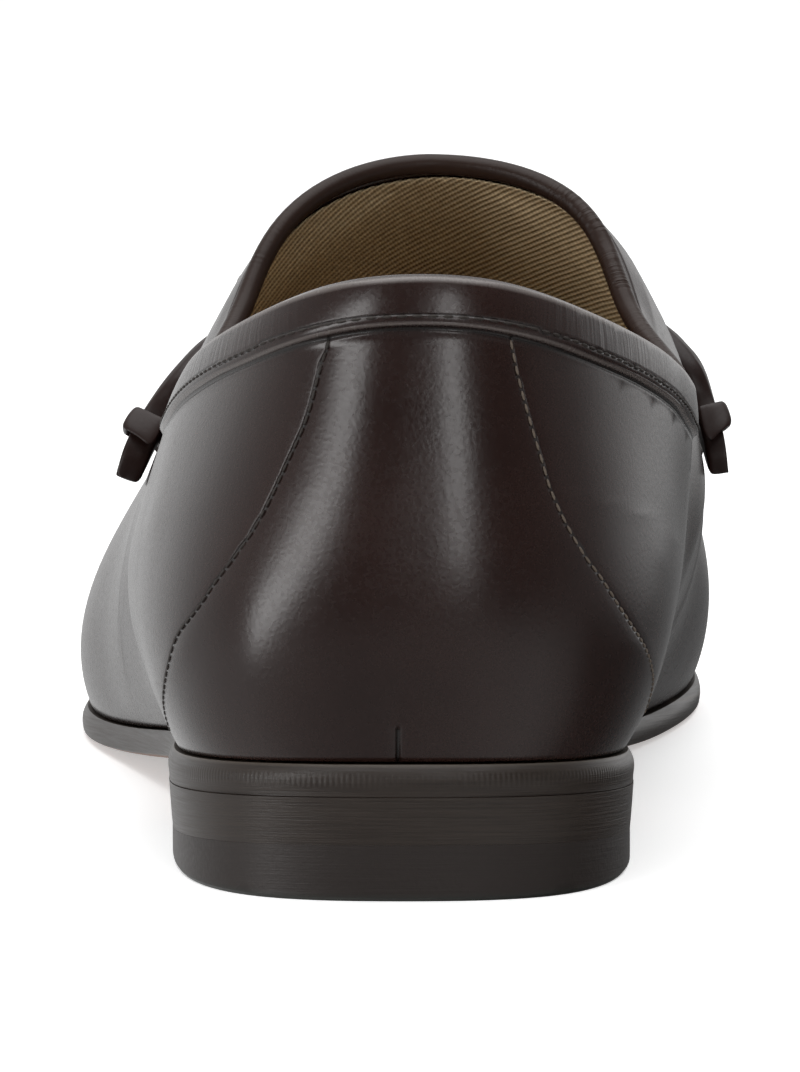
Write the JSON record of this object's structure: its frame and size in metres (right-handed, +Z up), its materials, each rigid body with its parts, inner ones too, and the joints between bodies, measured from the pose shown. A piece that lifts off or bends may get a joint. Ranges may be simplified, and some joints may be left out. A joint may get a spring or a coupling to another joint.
{
  "type": "bit loafer",
  "caption": "Left moccasin loafer in dark brown calf with a saddle strap and metal bit over the instep, leather sole and a low stacked heel.",
  "frame": {"origin": "middle of the heel's flat tread", "axes": "+Y from heel to toe, +X towards the inner side of the foot, +Z up"},
  "size_m": [0.104, 0.3, 0.0978],
  "materials": {
    "upper_calf": "smooth, softly polished",
    "binding_calf": "smooth, satin",
    "strap_calf": "smooth, satin",
    "sole_leather": "inked and waxed edge",
    "insole_leather": "plain",
    "stacked_leather": "inked and waxed edge",
    "lift_rubber": "smooth",
    "bit_metal": "polished"
  },
  "bodies": {
    "root": {"upper": "upper_calf", "tongue_binding": "binding_calf", "strap": "strap_calf", "keeper_lateral": "strap_calf", "keeper_medial": "strap_calf", "bit_loop_lateral": "strap_calf", "bit_loop_medial": "strap_calf", "bit_ring_lateral": "bit_metal", "bit_ring_medial": "bit_metal", "bit_bar_lateral": "bit_metal", "bit_bar_medial": "bit_metal", "outsole": "sole_leather", "insole": "insole_leather", "heel_stack": "stacked_leather", "top_lift": "lift_rubber"}
  },
  "joints": []
}
